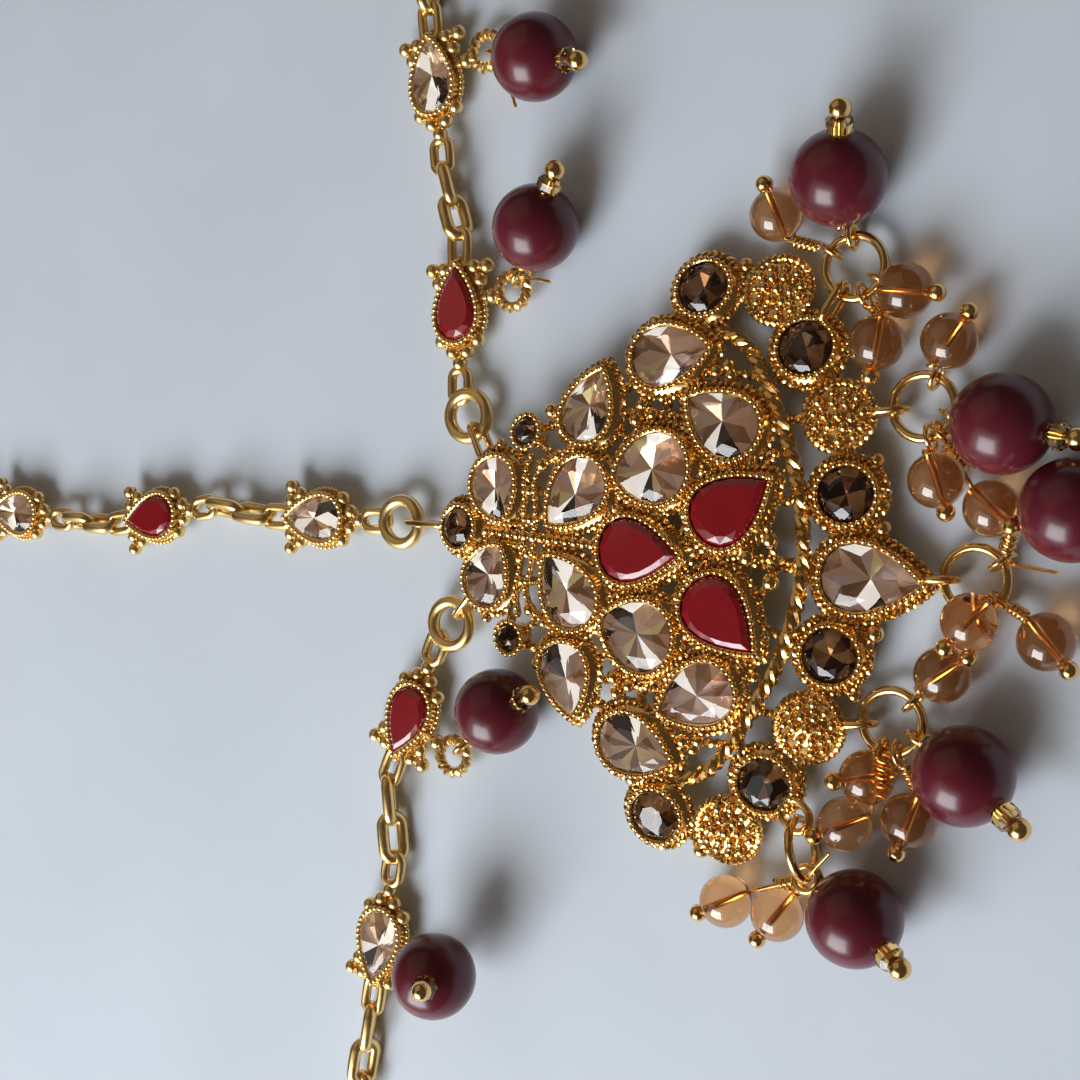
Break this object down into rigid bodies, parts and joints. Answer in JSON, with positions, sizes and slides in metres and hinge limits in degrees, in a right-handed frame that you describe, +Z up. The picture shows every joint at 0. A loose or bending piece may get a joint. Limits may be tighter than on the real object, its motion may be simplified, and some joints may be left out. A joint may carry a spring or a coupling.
{
  "type": "matha patti (head jewellery with a forehead pendant and three chains)",
  "caption": "Matha patti: a stone-set fan pendant with a fringe of beads, hung from three jewelled chains with bead drops and plain end hooks.",
  "frame": {"origin": "centre of the jewel's footprint, on the surface that it lies on", "axes": "+Z up from the surface, +Y from the pendant's tip along the centre chain, +X towards the pendant's right side as seen from above"},
  "size_m": [0.1378, 0.1542, 0.0127],
  "materials": {
    "gold": "polished yellow gold plate",
    "clear_stone": "faceted, clear to pale champagne, foil-backed",
    "smoky_stone": "faceted, smoky brown",
    "red_stone": "faceted, opaque deep red",
    "maroon_bead": "glossy dark maroon glass",
    "champagne_bead": "translucent champagne lustre glass"
  },
  "bodies": {
    "root": {"apex_stone": "smoky_stone", "centre_chain": "gold", "centre_red_stone": "red_stone", "chain_bead_1": "maroon_bead", "chain_bead_2": "maroon_bead", "chain_bead_3": "maroon_bead", "chain_bead_4": "maroon_bead", "edge_stone_left": "clear_stone", "edge_stone_right": "clear_stone", "fan_stone_left": "clear_stone", "fan_stone_right": "clear_stone", "fringe_bead_1": "maroon_bead", "fringe_bead_2": "maroon_bead", "fringe_bead_3": "maroon_bead", "fringe_bead_4": "maroon_bead", "fringe_bead_5": "maroon_bead", "fringe_cluster_1": "champagne_bead", "fringe_cluster_2": "champagne_bead", "fringe_cluster_3": "champagne_bead", "fringe_cluster_4": "champagne_bead", "fringe_cluster_5": "champagne_bead", "inner_stone_left": "clear_stone", "inner_stone_right": "clear_stone", "left_chain": "gold", "lower_red_stone_left": "red_stone", "lower_red_stone_right": "red_stone", "neck_stone_left": "clear_stone", "neck_stone_right": "clear_stone", "outer_stone_1_left": "smoky_stone", "outer_stone_1_right": "smoky_stone", "outer_stone_2_left": "smoky_stone", "outer_stone_2_right": "smoky_stone", "outer_stone_3_left": "smoky_stone", "outer_stone_3_right": "smoky_stone", "pendant_frame": "gold", "right_chain": "gold", "shoulder_stone_left": "clear_stone", "shoulder_stone_right": "clear_stone", "small_stone_left": "smoky_stone", "small_stone_right": "smoky_stone", "tip_stone": "clear_stone", "wing_stone_left": "clear_stone", "wing_stone_right": "clear_stone"}
  },
  "joints": []
}
